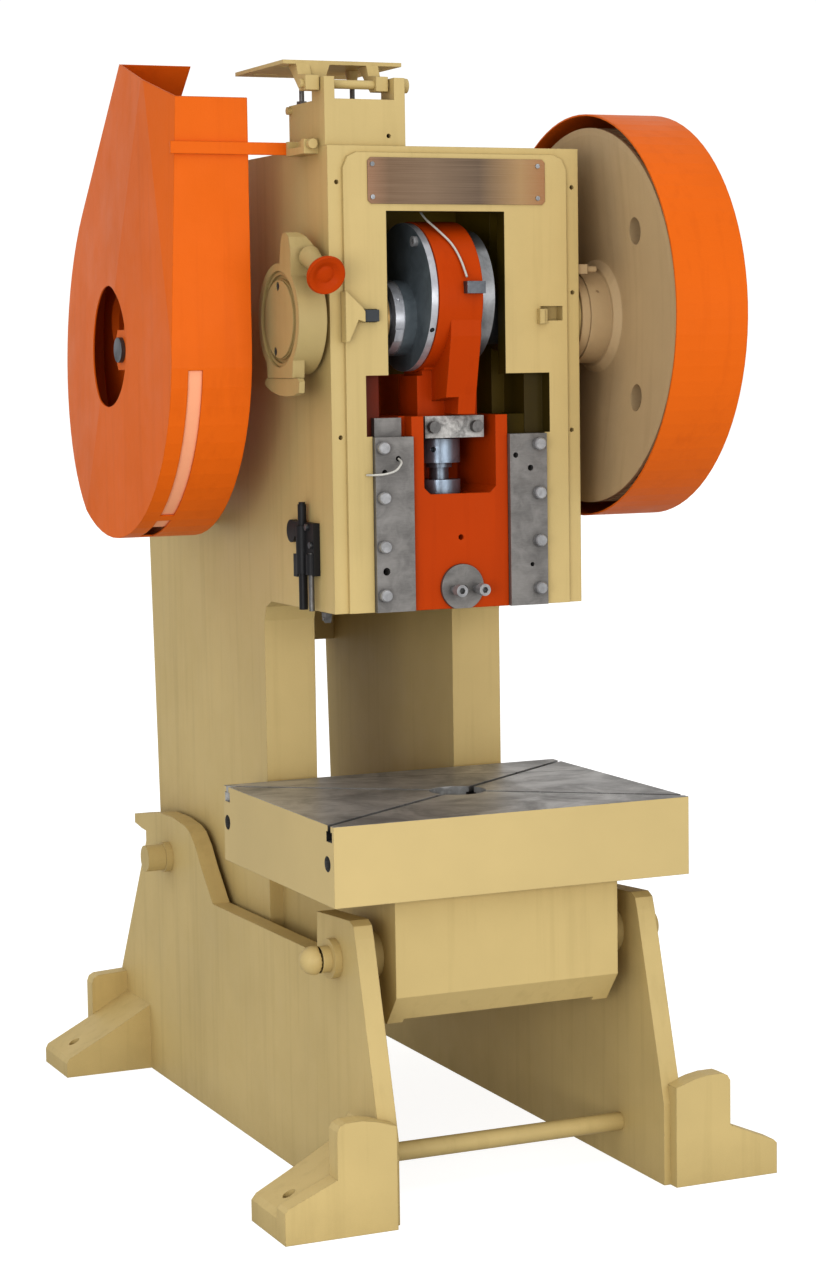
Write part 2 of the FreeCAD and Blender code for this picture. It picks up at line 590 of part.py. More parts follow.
# hand knob on the band's tension rod, which slopes down towards the front
KN, KD = V(-280, 168.5, 1652.6), V(0, -0.906, -0.423)
KD.normalize()
krot = FreeCAD.Rotation(V(0, 0, 1), KD)
kr = doc.addObject("Part::Cylinder", "KnobRod")
kr.Radius, kr.Height = 6, 123
kr.Placement = FreeCAD.Placement(KN - KD * 119, krot)
band_hole = doc.addObject("Part::Cylinder", "KnobHole")
band_hole.Radius, band_hole.Height = 6.4, 182
band_hole.Placement = FreeCAD.Placement(KN - KD * 162, krot)
lug = doc.addObject("Part::Cone", "BandLug")
lug.Radius1, lug.Radius2, lug.Height = 20, 13, 57
lug.Placement = FreeCAD.Placement(KN - KD * 77, krot)
node(cut(fuse(band, lug), band_hole, cyl("X", -300, -250, crank_y, crank_z, 86)), "brake_band")

# ============================================================ gears and shafts


def flank(n, m, radius, backlash):
    """Half angle of an involute tooth at a radius."""
    rp = n * m / 2.0
    rb = rp * math.cos(math.radians(20))
    inv = lambda a: math.tan(a) - a
    a = math.acos(min(1.0, rb / max(radius, rb)))
    return math.pi / (2 * n) - backlash / (2 * rp) + inv(math.radians(20)) - inv(a)


def toothed(n, m, phase, steps, backlash):
    rp = n * m / 2.0
    rf, ra = rp - 1.25 * m, rp + m
    radii = [rf + (ra - rf) * k / steps for k in range(steps + 1)]
    pts = []
    for i in range(n):
        c = phase + 2 * math.pi * i / n
        pts += [(q, c - flank(n, m, q, backlash)) for q in radii]
        pts += [(q, c + flank(n, m, q, backlash)) for q in reversed(radii)]
    return [(q * math.cos(a), q * math.sin(a)) for q, a in pts]


def tooth_disc(name, n, m, phase, steps, y, z, x0, x1):
    pts = [V(x0, y + a, z + b) for a, b in toothed(n, m, phase, steps, 0.6)]
    wire = Part.makePolygon(pts + [pts[0]])
    o = doc.addObject("Part::Feature", name)
    o.Shape = Part.Face(wire).extrude(V(x1 - x0, 0, 0))
    return o


LINE = math.atan2(BZ - CZ, BY - CY)
GN, PN, MO = int(num(gear_n)), int(num(pin_n)), num(gear_m)
GX0, GX1 = num(gear_x0), num(gear_x1)
gear_blank = tooth_disc("GearTeeth", GN, MO, LINE + math.pi / GN, 3, CY, CZ, GX0 + 1.5, GX1)
# smooth shroud disc over the tooth ends, dished towards the hub; bored for the shaft; four lightening holes
gear = cut(fuse(cut(fuse(gear_blank, cyl("X", gear_x0 - 5, gear_x0 + 1.6, crank_y, crank_z, 350.5)),
                    cone("X", gear_x0 - 6, 330, crank_y, crank_z, 347, 112),
                    cyl("X", gear_x0 + 40, gear_x1 + 1, crank_y, crank_z, 316)),
                cyl("X", 276, gear_x1 + 20, crank_y, crank_z, 88), cyl("X", 400, 434, crank_y, crank_z, 60),
                cone("X", 318, 346, crank_y, crank_z, 94, 122)),
           cyl("X", 200, 450, crank_y, crank_z, 45 + 0.05), ball(295, 235, 1619, 3),
           *[cyl("X", 300, 400, CY + 236 * math.cos(a), CZ + 236 * math.sin(a), 24.5)
             for a in [math.radians(40), math.radians(140), math.radians(220), math.radians(320)]])
node(gear, "bull_gear")
node(cut(cyl("X", 259, 275.5, crank_y, crank_z, 85), cyl("X", 250, 280, crank_y, crank_z, 45)), "clutch_collar")
node(fuse(cyl("X", 249, 293, 240, 1661, 6), box(249, 272, 230, 250, 1652, 1670)), "clutch_stop_pin")
node(cut(prism("YZ", 436, 466, ngon(CY, CZ, 50)), cyl("X", 430, 480, crank_y, crank_z, 34)), "crank_end_nut")

pin_blank = tooth_disc("PinionTeeth", PN, MO, LINE + math.pi, 6, BY, BZ, GX0 + 4, GX1 + 4)
node(cut(pin_blank, cyl("X", 300, 400, back_y, back_z, back_r)), "pinion")
node(fuse(cyl("X", -452, 408, back_y, back_z, back_r), cyl("X", -484, -452, back_y, back_z, 24)), "back_shaft")
node(group(cut(cyl("X", -268, -140, back_y, back_z, 49.98), cyl("X", -270, -130, back_y, back_z, back_r + run_gap)),
           cut(cyl("X", 140, 268, back_y, back_z, 49.98), cyl("X", 130, 270, back_y, back_z, back_r + run_gap))),
     "back_shaft_bushes")
w = Body("flywheel_body")
w.revolve("XY", "H_Axis", [(-452, 35), (-452, 70), (-420, 76), (-420, 286), (-448, 292), (-448, 335),
                           (-440, 335), (-434, 320), (-428, 335), (-422, 335), (-416, 320), (-410, 335),
                           (-404, 335), (-398, 320), (-392, 335), (-376, 335), (-376, 292),
                           (-404, 286), (-404, 76), (-372, 70), (-372, 35)])
for k in range(5):
    a = 2 * math.pi * k / 5 + 0.3
    w.pocket("YZ", -424, -400, ("circle", 180 * math.cos(a), 180 * math.sin(a), 58))
w.b.Placement = FreeCAD.Placement(V(0, BY, BZ), FreeCAD.Rotation())
w.b.setExpression("Placement.Base.z", back_z.e)
w.b.setExpression("Placement.Base.y", back_y.e)
node(w, "flywheel")
node(cut(prism("YZ", -476, -452, ngon(BY, BZ, 44)), cyl("X", -480, -450, back_y, back_z, 24)), "flywheel_nut")

# ================================================================== guards


def belt_outline(off):
    """Side outline of the belt guard: round below, straight up in front, slanting up behind."""
    R = num(bg_r) - off
    GY = num(bg_y)
    top = (655.0, 2056.0)
    # tangent from the rear top corner to the round part
    dy, dz = top[0] - GY, top[1] - BZ
    dist = math.hypot(dy, dz)
    base = math.atan2(dz, dy)
    swing = math.acos(num(bg_r) / dist)
    a1 = base - swing
    tang = (GY + R * math.cos(a1), BZ + R * math.sin(a1))
    ux, uz = top[0] - (GY + num(bg_r) * math.cos(a1)), top[1] - (BZ + num(bg_r) * math.sin(a1))
    pts = []
    n = 40
    a0 = math.pi
    a2 = 2 * math.pi + a1
    for k in range(n + 1):
        a = a0 + (a2 - a0) * k / n
        pts.append((GY + R * math.cos(a), BZ + R * math.sin(a)))
    over = 60.0 if off else 0.0
    end = (tang[0] + ux, tang[1] + uz)
    pts.append((end[0] + ux / math.hypot(ux, uz) * over, end[1] + uz / math.hypot(ux, uz) * over))
    if not off:
        pts.append((478, 2010))
    pts.append((GY - R, 1971 + over * 2))
    return pts


def rear_wedge(off):
    """Half space behind the crease, which bends the outer sheet inwards by about five degrees."""
    hinge = V(-num(bg_out) + off, BY + 10, BZ)
    run = V(0, 297, -600)
    run.normalize()
    out = V(0, 600, 297)
    out.normalize()
    tip = hinge + out * 460 + V(460 * math.tan(math.radians(4.8)), 0, 0)
    big = V(-400, 0, 0)
    a, b = hinge - run * 700, hinge + run * 700
    prof = Part.makePolygon([a, a + out * 460 + V(460 * math.tan(math.radians(4.8)), 0, 0),
                             a + out * 460 + big, a + big, a])
    return Part.Face(prof).extrude(run * 1400)


def corner_facet(off):
    """What the facet takes off the corner between the outer sheet and the front band, wider towards the top."""
    a, b, c = V(-502, 354, 1523), V(-502, 478, 2010), V(-484.5, 354, 1970)
    nrm = (b - a).cross(c - a)
    nrm.normalize()
    if nrm.x > 0:
        nrm = nrm * -1
    u = b - a
    u.normalize()
    w2 = nrm.cross(u)
    o = a - nrm * off
    quad = Part.makePolygon([o + u * i + w2 * j for i, j in ((-700, -700), (1200, -700), (1200, 700), (-700, 700), (-700, -700))])
    return Part.Face(quad).extrude(nrm * 200)


def sheet_prism(pts, x0, x1):
    w3 = Part.makePolygon([V(x0, y, z) for y, z in pts] + [V(x0, pts[0][0], pts[0][1])])
    return Part.Face(w3).extrude(V(x1 - x0, 0, 0))


BO, BI, GT = num(bg_out), num(bg_in), num(guard_t)
bg = sheet_prism(belt_outline(0), -BO, -BI).cut(rear_wedge(0)).cut(corner_facet(0))
bg_void = sheet_prism(belt_outline(GT), -BO + GT, -BI + 50).cut(rear_wedge(GT)).cut(corner_facet(GT))
bg = bg.cut(bg_void)
bg = bg.cut(Part.makeCylinder(115, 60, V(-BO - 20, 729, 1532), V(1, 0, 0)))
# curved slot low down in the guard's front band, in two lengths


def band_slot(a0, a1):
    pts = []
    for q, order in ((num(bg_r) - 20, 1), (num(bg_r) + 20, -1)):
        for k in range(0, 13)[::order]:
            a = math.radians(a0 + (a1 - a0) * k / 12.0)
            pts.append((num(bg_y) - q * math.cos(a), BZ - q * math.sin(a)))
    return sheet_prism(pts, -470, -442.5)


bg = bg.cut(band_slot(6.4, 60)).cut(band_slot(63, 82))
belt_guard = doc.addObject("Part::Feature", "BeltGuard")
belt_guard.Shape = bg
belt_guard.Placement = FreeCAD.Placement()
node(belt_guard, "belt_guard")


def gear_outline(off):
    """Side outline of the gear guard: round over the gear, drawn out to cover the pinion."""
    R, r2 = num(guard_r) - off, 112.0 - off
    d = math.hypot(BY - CY, BZ - CZ)
    base = math.atan2(BZ - CZ, BY - CY)
    sw = math.acos((R - r2) / d)
    pts = []
    for k in range(61):
        a = base + sw + (2 * math.pi - 2 * sw) * k / 60
        pts.append((CY + R * math.cos(a), CZ + R * math.sin(a)))
    for k in range(21):
        a = base - sw + 2 * sw * k / 20
        pts.append((BY + r2 * math.cos(a), BZ + r2 * math.sin(a)))
    return pts


GI, GO = num(gg_in), num(gg_out)
gg = sheet_prism(gear_outline(0), GI, GO).cut(sheet_prism(gear_outline(GT), GI - 10, GO - GT))
gg = gg.cut(Part.makeCylinder(52, 30, V(GO - 15, CY, CZ), V(1, 0, 0)))
gear_guard = doc.addObject("Part::Feature", "GearGuard")
gear_guard.Shape = gg
node(gear_guard, "gear_guard")

def arc_bar(y, z, r0, r1, a0, a1):
    """Profile of a flat bar bent to a round guard's outside."""
    aa = [math.radians(a0 + (a1 - a0) * k / 4.0) for k in range(5)]
    return [(y + r0 * math.cos(a), z + r0 * math.sin(a)) for a in aa] + \
           [(y + r1 * math.cos(a), z + r1 * math.sin(a)) for a in reversed(aa)]


# stays: flat bars from the frame to the guards
node(group(prism("YZ", -480, -head_half, arc_bar(num(bg_y), BZ, 358.2, 368, -70, -64)),
           prism("YZ", -420, -head_half, arc_bar(num(bg_y), BZ, 358.2, 368, -48, -42)),
           prism("YZ", head_half, 330, arc_bar(BY, BZ, 112.2, 122, -52, -36))), "guard_stays")
node(box(-497, -255, 348, 354, 1870, 1892), "belt_guard_strap")
node(cut(fuse(box(-277, -249, 262, 348, 1867, 1893), cyl("Y", 250, 263, -264, 1884, 9)), box(-278, -260, 276, 338, 1880, 1895)),
     "guard_bracket")

# ============================================================ motor mounting
node(cut(fuse(box(-head_half, -93, 231, 401, head_top, 1962), box(-249, -229, 231, 289, 1955, 2001),
              box(-114, -93, 231, 289, 1955, 2001), cyl("X", -256, -248, 394, 1953, 7)),
         box(-239, -103, 241, 391, head_top - 1, 1952), cyl("Y", 225, 245, -125.5, 1898, 4),
         cyl("X", -260, -220, 262, 1990, 8), cyl("X", -120, -90, 262, 1990, 8),
         cyl("Z", 1940, 1970, -228, 390, 4.6), cyl("Z", 1940, 1970, -128, 390, 4.6)), "motor_pedestal")
node(fuse(cyl("X", -284, -92, 262, 1990, 8), cyl("X", -93, -76, 262, 1990, 13)), "hinge_pin")
# tilting plate: sheet, two hinge eyes with a gusset between, pads for the studs
plate = fuse(box(-302, -72, 292, 535, 2027, 2034),
             prism("YZ", -277, -251, [(248, 1978), (276, 1978), (330, 2027.5), (292, 2027.5), (284, 2008), (248, 2004)]),
             prism("YZ", -141, -118, [(248, 1978), (276, 1978), (330, 2027.5), (292, 2027.5), (284, 2008), (248, 2004)]),
             prism("XZ", 292, 300, [(-277, 2027.5), (-277, 2012), (-262, 2003), (-240, 1996), (-226, 1994), (-220, 2004), (-212, 2027.5)]),
             cyl("Z", 2014, 2028, -228, 390, 13), cone("Z", 2008, 2028, -128, 390, 9, 13))
plate = cut(plate, cyl("X", -290, -110, 262, 1990, 8.05),
            *[fuse(box(x - 19, x + 19, y - 6, y + 6, 2020, 2045), cyl("Z", 2020, 2045, x - 19, y, 6),
                   cyl("Z", 2020, 2045, x + 19, y, 6)) for x in (-262, -112) for y in (345, 485)])
node(plate, "motor_plate")
node(group(*[fuse(cyl("Z", 1940, top - 0.3, x, 390, 4.6), prism("XY", 1962, 1970, ngon(x, 390, 10)))
             for x, top in ((-228, 2014), (-128, 2008))]), "motor_jack_screws")

# =================================================== plates and small pieces
node(prism("XZ", head_front - 2, head_front, [
    (-175, 1783), (-169, 1777), (171, 1777), (177, 1783), (177, 1853), (171, 1859), (-169, 1859), (-175, 1853)]),
     "nameplate")
node(group(*[fuse(cyl("Y", head_front - 4, head_front - 2, x, z, 4.2)) for x in (-166, 162) for z in (1789, 1847)]),
     "nameplate_rivets")
node(group(box(-188, -161, 204, 236, 1568, 1589), cut(box(160, 178, 204, head_front, 1561, 1588), box(170, 180, 200, 210, 1555, 1590))),
     "front_stop_blocks")

# trip mechanism on the left side of the head
tb = cut(fuse(box(-262, -249, 288, 371, 1110, 1206), box(-262, -249, 370, 388, 1104, 1146),
              cyl("X", -260, -249, 404, 1187, 21), box(-260, -249, 370, 404, 1178, 1206),
              cyl("Z", 1112, 1200, -262, 341, 12), cyl("Z", 1112, 1150, -262, 300, 9)),
         cyl("Z", 1090, 1215, -262, 341, 8.3), cyl("Z", 1090, 1152, -262, 300, 5))
node(tb, "trip_bracket")
node(fuse(cyl("Z", 1046, 1239, -262, 341, 8), cyl("Z", 1236, 1243, -262, 341, 6)), "trip_rod")
node(group(cyl("Z", 1046, 1151.8, -262, 300, 5), fuse(prism("YZ", -250, -238, [(262, 1044.8), (285, 1044.8), (281, 1032), (268, 1026)]),
                                                    box(-252, -236, 270, 276, 1030, 1036))), "trip_pins")
node(group(cyl("X", -267, -262, 316, 1198, 6), cyl("X", -267, -262, 298, 1166, 6)),
     "side_screws")


# oil lines: one solid tube each, straight runs joined by arcs
def tube(name, pts, r, radius):
    edges = []
    n = len(pts)
    prev = pts[0]
    for k in range(1, n - 1):
        a, b, c = pts[k - 1], pts[k], pts[k + 1]
        d1, d2 = (b - a), (c - b)
        l1, l2 = d1.Length, d2.Length
        d1.normalize()
        d2.normalize()
        half = d1.getAngle(d2) / 2
        R = 0.45 * min(l1, l2) / math.tan(half)
        cutback = R * math.tan(half)
        p1, p2 = b - d1 * cutback, b + d2 * cutback
        bis = (d2 - d1)
        bis.normalize()
        mid = b + bis * (R / math.cos(half) - R)
        edges.append(Part.LineSegment(prev, p1).toShape())
        edges.append(Part.Arc(p1, mid, p2).toShape())
        prev = p2
    edges.append(Part.LineSegment(prev, pts[-1]).toShape())
    path = Part.Wire(edges)
    d = pts[1] - pts[0]
    d.normalize()
    prof = Part.Wire([Part.Circle(pts[0], d, r).toShape()])
    solid = path.makePipeShell([prof], True, False)
    o = doc.addObject("Part::Feature", name)
    o.Shape = solid
    print(name, "volume over section times length", solid.Volume / (math.pi * r * r * path.Length))
    node(o, name)


def on_ring(x, deg, r):
    """Point beside the ring, at an angle above the forward direction."""
    return V(x, CY - r * math.cos(math.radians(deg)), 1612.5 + r * math.sin(math.radians(deg)))


tube("ring_oil_tube", [on_ring(-40, 84, 160), on_ring(-46, 70, 151), on_ring(-32, 55, 144), on_ring(-16, 41, 142),
                       on_ring(-8, 27, 142), on_ring(-4, 13, 146)], 2.2, 30)
tube("gib_oil_tube", [V(-127, 205.8, 1322), V(-126, 190, 1316), V(-140, 184, 1301), V(-162, 188, 1295), V(-180, 202, 1294),
                      V(-186, 213.6, 1294)], 2.0, 20)

kn = Body("knob_body")
kn.revolve("XZ", "V_Axis", [(0, -14), (13, -14), (15, -4), (34, 2), (36, 8), (34, 14), (26, 12), (16, 6), (10, 8), (0, 9)])
kn.b.Placement = FreeCAD.Placement(KN, krot)
ks = doc.addObject("Part::MultiFuse", "KnobAndRod")
ks.Shapes = [kn.b, kr]
node(ks, "brake_knob")

# ================================================================== output
doc.recompute()
bad = []
for o in doc.Objects:
    if any(w in ("Invalid", "Error") for w in o.State):
        bad.append((o.Name, o.Label, o.State))
for k, o in NODES.items():
    sh = o.Shape
    if sh.isNull() or not sh.isValid() or not sh.Solids or any(q.Volume <= 0 for q in sh.Solids):
        bad.append((k, "shape"))
if bad:
    raise SystemExit("failed objects: %s" % bad)
os.makedirs("parts", exist_ok=True)
for k, o in NODES.items():
    o.Shape.exportStep("parts/%s.step" % k)
print(len(NODES), "nodes")
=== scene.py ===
# Looks of the stamping press: finishes, small modelled details, light and camera.
# Everything is in metres, in the part's own frame.
import math

import bpy
import bmesh
from mathutils import Matrix, Vector


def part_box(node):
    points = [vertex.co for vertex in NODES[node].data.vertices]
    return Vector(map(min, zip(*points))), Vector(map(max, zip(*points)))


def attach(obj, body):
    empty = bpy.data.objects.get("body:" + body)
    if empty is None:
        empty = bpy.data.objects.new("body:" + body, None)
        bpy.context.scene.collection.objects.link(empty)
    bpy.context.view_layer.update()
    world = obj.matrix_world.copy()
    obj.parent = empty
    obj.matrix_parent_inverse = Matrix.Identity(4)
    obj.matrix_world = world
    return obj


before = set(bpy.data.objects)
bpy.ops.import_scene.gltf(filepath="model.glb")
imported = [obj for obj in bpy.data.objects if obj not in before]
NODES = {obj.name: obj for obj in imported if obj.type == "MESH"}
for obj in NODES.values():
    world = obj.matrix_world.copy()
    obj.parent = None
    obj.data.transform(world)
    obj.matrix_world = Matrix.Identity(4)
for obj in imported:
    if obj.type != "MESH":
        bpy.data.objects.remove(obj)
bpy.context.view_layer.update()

# ------------------------------------------------------------------- camera
YAW, PITCH, ROLL = 0.4146, 0.0983, -0.0149
fwd = Vector((math.sin(YAW) * math.cos(PITCH), math.cos(YAW) * math.cos(PITCH), -math.sin(PITCH)))
right = Vector((math.cos(YAW), -math.sin(YAW), 0.0))
up = right.cross(fwd)
r2 = right * math.cos(ROLL) + up * math.sin(ROLL)
u2 = up * math.cos(ROLL) - right * math.sin(ROLL)
cam = bpy.data.objects.new("camera", bpy.data.cameras.new("camera"))
bpy.context.scene.collection.objects.link(cam)
m = Matrix.Identity(4)
for i in range(3):
    m[i][0], m[i][1], m[i][2] = r2[i], u2[i], -fwd[i]
m.translation = Vector((-2.1621, -5.0929, 1.5093))
cam.matrix_world = m
cam.data.lens = 80.27
cam.data.sensor_width = 36.0
cam.data.clip_start, cam.data.clip_end = 0.1, 100.0
bpy.context.scene.camera = cam


# ---------------------------------------------------------------- materials
class Mat:
    """A small builder for node materials in the part's own coordinates."""

    def __init__(self, name):
        self.m = bpy.data.materials.new(name)
        self.m.use_nodes = True
        self.t = self.m.node_tree
        self.t.nodes.clear()
        self.out = self.n("ShaderNodeOutputMaterial")
        self.b = self.n("ShaderNodeBsdfPrincipled")
        self.t.links.new(self.b.outputs[0], self.out.inputs[0])
        self.tc = self.n("ShaderNodeTexCoord")
        self.geo = self.n("ShaderNodeNewGeometry")

    def n(self, kind, **kw):
        o = self.t.nodes.new(kind)
        for k, v in kw.items():
            setattr(o, k, v)
        return o

    def put(self, sock, value):
        if isinstance(value, bpy.types.NodeSocket):
            self.t.links.new(value, sock)
        elif value is not None:
            if isinstance(value, (tuple, list)) and len(value) == 3 and sock.type == "RGBA":
                value = (*value, 1.0)
            sock.default_value = value

    def coords(self, scale=(1, 1, 1), rot=(0, 0, 0), loc=(0, 0, 0)):
        p = self.n("ShaderNodeMapping")
        p.inputs["Scale"].default_value = scale
        p.inputs["Rotation"].default_value = rot
        p.inputs["Location"].default_value = loc
        self.t.links.new(self.tc.outputs["Object"], p.inputs["Vector"])
        return p.outputs[0]

    def noise(self, scale, detail=3.0, rough=0.5, distort=0.0, vec=None, stretch=None, w=0.0):
        o = self.n("ShaderNodeTexNoise")
        self.put(o.inputs["Vector"], vec if vec is not None else self.coords(stretch or (1, 1, 1), loc=(w, w * 0.7, w * 1.3)))
        o.inputs["Scale"].default_value = scale
        o.inputs["Detail"].default_value = detail
        o.inputs["Roughness"].default_value = rough
        o.inputs["Distortion"].default_value = distort
        return o.outputs["Fac"]

    def voronoi(self, scale, feature="F1", vec=None, rand=1.0):
        o = self.n("ShaderNodeTexVoronoi", feature=feature)
        self.put(o.inputs["Vector"], vec if vec is not None else self.coords())
        o.inputs["Scale"].default_value = scale
        o.inputs["Randomness"].default_value = rand
        return o.outputs["Distance"]

    def math(self, op, a, b=0.0, c=None, clamp=False):
        o = self.n("ShaderNodeMath", operation=op, use_clamp=clamp)
        self.put(o.inputs[0], a)
        self.put(o.inputs[1], b)
        if c is not None:
            self.put(o.inputs[2], c)
        return o.outputs[0]

    def span(self, v, a, b, lo=0.0, hi=1.0, smooth=False):
        o = self.n("ShaderNodeMapRange", interpolation_type="SMOOTHSTEP" if smooth else "LINEAR")
        self.put(o.inputs["Value"], v)
        for k, q in (("From Min", a), ("From Max", b), ("To Min", lo), ("To Max", hi)):
            o.inputs[k].default_value = q
        return o.outputs[0]

    def mix(self, f, a, b, mode="MIX"):
        o = self.n("ShaderNodeMix", data_type="RGBA", blend_type=mode)
        self.put(o.inputs["Factor"], f)
        self.put(o.inputs[6], a)
        self.put(o.inputs[7], b)
        return o.outputs[2]

    def split(self, vec):
        o = self.n("ShaderNodeSeparateXYZ")
        self.put(o.inputs[0], vec)
        return o.outputs

    def inside(self, lo, hi, soft=0.0015):
        """1 inside a box given by two corners, 0 outside."""
        k = None
        for c, a, b in zip(self.split(self.tc.outputs["Object"]), lo, hi):
            f = self.math("MULTIPLY", self.span(c, a - soft, a + soft), self.span(c, b - soft, b + soft, 1.0, 0.0))
            k = f if k is None else self.math("MULTIPLY", k, f)
        return k

    def bevel(self, radius, samples=3):
        o = self.n("ShaderNodeBevel", samples=samples)
        o.inputs["Radius"].default_value = radius
        return o.outputs[0]

    def edges(self, radius, lo=0.02, hi=0.25):
        """1 on outer edges, 0 on flats."""
        o = self.n("ShaderNodeVectorMath", operation="DOT_PRODUCT")
        self.t.links.new(self.bevel(radius), o.inputs[0])
        self.t.links.new(self.geo.outputs["Normal"], o.inputs[1])
        return self.span(self.math("SUBTRACT", 1.0, o.outputs["Value"]), lo, hi)

    def occlusion(self, dist, samples=3):
        """1 in the open, falling towards 0 in corners."""
        o = self.n("ShaderNodeAmbientOcclusion", samples=samples)
        o.inputs["Distance"].default_value = dist
        return o.outputs["AO"]

    def bump(self, height, strength, distance, base=None):
        o = self.n("ShaderNodeBump")
        o.inputs["Strength"].default_value = strength
        o.inputs["Distance"].default_value = distance
        self.put(o.inputs["Height"], height)
        if base is not None:
            self.put(o.inputs["Normal"], base)
        return o.outputs[0]

    def finish(self, color, rough, metal=0.0, normal=None, spec=0.5, coat=0.0):
        self.put(self.b.inputs["Base Color"], color)
        self.put(self.b.inputs["Roughness"], rough)
        self.b.inputs["Metallic"].default_value = metal if not isinstance(metal, bpy.types.NodeSocket) else 0.0
        if isinstance(metal, bpy.types.NodeSocket):
            self.put(self.b.inputs["Metallic"], metal)
        self.b.inputs["Specular IOR Level"].default_value = spec
        self.b.inputs["Coat Weight"].default_value = coat
        if normal is not None:
            self.put(self.b.inputs["Normal"], normal)
        return self.m


def scale3(c, k):
    return tuple(max(0.0, min(1.0, x * k)) for x in c)


def paint(name, col, rough=0.42, vary=0.10, dirt_and_shade_col=(0.30, 0.24, 0.10), corner_shade_amt=0.28, chip=0.35, chip_col=(0.16, 0.15, 0.13),
          wave=0.35, round_r=0.0022, ao=0.10, seed=0.0, metal=0.0, streak=0.25, zones=(), spec=0.25):
    """Sprayed or brushed enamel on cast or sheet metal."""
    q = Mat(name)
    big = q.noise(2.3, 4, 0.55, w=seed)
    mid = q.noise(11.0, 4, 0.6, w=seed + 3)
    fine = q.noise(90.0, 3, 0.6, w=seed + 5)
    base = q.mix(q.span(big, 0.3, 0.7), scale3(col, 1 - vary), scale3(col, 1 + vary * 0.6))
    base = q.mix(q.math("MULTIPLY", q.span(mid, 0.45, 0.75), 0.22), base, scale3(col, 1 - 1.4 * vary))
    runs = q.noise(1.0, 3, 0.6, stretch=(38, 38, 1.6), w=seed + 9)
    base = q.mix(q.math("MULTIPLY", q.span(runs, 0.52, 0.78), streak), base, q.mix(0.5, base, dirt_and_shade_col, "MULTIPLY"))
    # painted shade: the paint turns darker in corners and crevices, driven by ambient occlusion
    occ = q.occlusion(ao)
    corner_shade = q.math("MULTIPLY", q.span(occ, 0.35, 0.95, 1.0, 0.0), q.span(mid, 0.25, 0.7, 0.55, 1.0))
    base = q.mix(q.math("MULTIPLY", corner_shade, corner_shade_amt), base, q.mix(1.0, base, dirt_and_shade_col, "MULTIPLY"))
    edge = q.edges(0.0035)
    flake = q.math("MULTIPLY", edge, q.span(q.noise(55.0, 5, 0.7, w=seed + 1), 0.60, 0.66))
    spots = q.math("MULTIPLY", q.span(q.noise(33.0, 6, 0.75, w=seed + 13), 0.735, 0.75), 0.8)
    chips = q.math("MULTIPLY", q.math("MAXIMUM", flake, spots), chip)
    base = q.mix(chips, base, chip_col)
    for lo, hi, zone_col, *deep in zones:
        shade = q.mix(q.span(mid, 0.3, 0.7), scale3(zone_col, 0.85), scale3(zone_col, 1.15))
        # zones with a depth limit turn lighter further in: painted light
        if deep:
            depth_light = q.span(q.split(q.tc.outputs["Object"])[1], lo[1] + 0.05, deep[0][0], 0.0, 1.0)
            shade = q.mix(depth_light, shade, deep[0][1])
        base = q.mix(q.inside(lo, hi, 0.0005), base, shade)
    peel = q.math("ADD", q.math("MULTIPLY", fine, 0.35), q.math("MULTIPLY", q.noise(320.0, 2, 0.5, w=seed), 0.18))
    h = q.math("ADD", peel, q.math("MULTIPLY", q.noise(7.0, 2, 0.5, w=seed + 21), wave * 6.0))
    h = q.math("SUBTRACT", h, q.math("MULTIPLY", chips, 0.8))
    nrm = q.bump(h, 0.5, 0.0011, q.bevel(round_r))
    ro = q.math("ADD", q.span(mid, 0.2, 0.8, rough - 0.06, rough + 0.10), q.math("MULTIPLY", chips, 0.2))
    return q.finish(base, ro, metal, nrm, spec)


CREAM = (0.640, 0.500, 0.232)
LIT_ORANGE = (0.80, 0.170, 0.010)
DEEP = (0.53, 0.066, 0.002)

M = {}
# painted shade: the slide's way and the crank chamber are painted dark olive and the lower left corner of the chamber
# dark red, for shaded cream and shaded orange; the zones with a depth limit turn lighter further in, as painted light
# where little light reaches
SHADE_OLIVE, SHADE_RED = (0.055, 0.036, 0.002), (0.15, 0.016, 0.0008)
LIGHTENED_OLIVE_FAR, LIGHTENED_RED_FAR = (0.34, 0.22, 0.015), (0.90, 0.12, 0.004)
CHAMBER = [((-0.1396, -0.4345, 1.4595), (0.0946, -0.3960, 1.7646), SHADE_OLIVE),
           ((-0.1468, -0.3975, 1.0470), (0.1468, -0.1000, 1.8100), SHADE_OLIVE, (-0.20, LIGHTENED_OLIVE_FAR)),
           ((-0.1727, -0.4345, 1.0470), (0.1727, -0.3960, 1.3640), SHADE_OLIVE),
           ((-0.1835, -0.4345, 1.3626), (0.1835, -0.3960, 1.4716), SHADE_OLIVE),
           ((-0.1835, -0.4345, 1.3626), (-0.0400, -0.1000, 1.4716), SHADE_RED, (-0.26, LIGHTENED_RED_FAR)),
           ((-0.1835, -0.3000, 1.3660), (0.0450, -0.1000, 1.4716), LIGHTENED_RED_FAR)]
M["cream_cast"] = paint("cream_cast", CREAM, 0.46, 0.07, wave=0.5, seed=1.0, zones=CHAMBER)
M["cream_leg"] = paint("cream_leg", CREAM, 0.48, 0.09, wave=0.6, seed=7.0, chip=0.5)
M["cream_small"] = paint("cream_small", scale3(CREAM, 0.95), 0.45, 0.08, wave=0.2, seed=15.0, round_r=0.0015)
